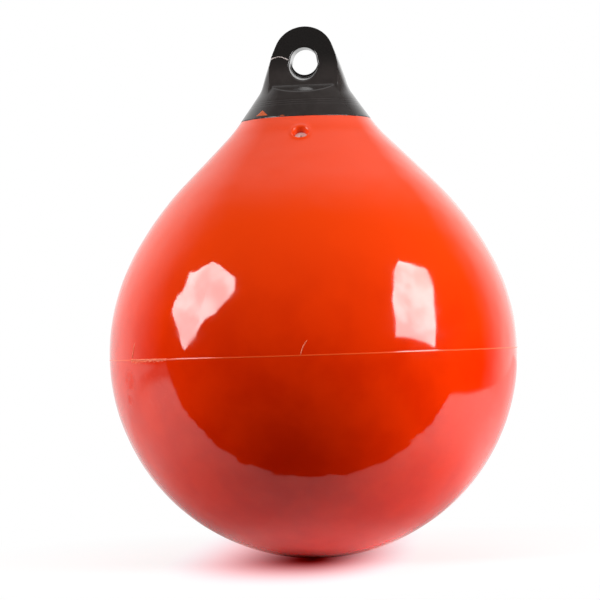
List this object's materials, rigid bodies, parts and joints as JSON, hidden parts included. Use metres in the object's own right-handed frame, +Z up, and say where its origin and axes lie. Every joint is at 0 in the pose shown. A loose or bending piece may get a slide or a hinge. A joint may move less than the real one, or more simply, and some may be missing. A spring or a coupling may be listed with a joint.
{
  "type": "inflatable buoy",
  "caption": "Teardrop inflatable vinyl buoy with a solid moulded rope eye lapped over its neck and a needle valve sunk in its shoulder, for mooring and marking on water.",
  "frame": {"origin": "on the floor, at the centre of the flat that the ball's skin makes there", "axes": "+Z up the buoy's axis to the rope eye, Y along the rope hole, and the valve on the -Y side"},
  "size_m": [0.4582, 0.458, 0.5938],
  "materials": {
    "orange_vinyl": "glossy moulded vinyl",
    "black_vinyl": "satin moulded hard vinyl",
    "white_rubber": "smooth soft rubber"
  },
  "bodies": {
    "root": {"body_shell": "orange_vinyl", "rope_eye": "black_vinyl", "valve_plug": "white_rubber"}
  },
  "joints": []
}
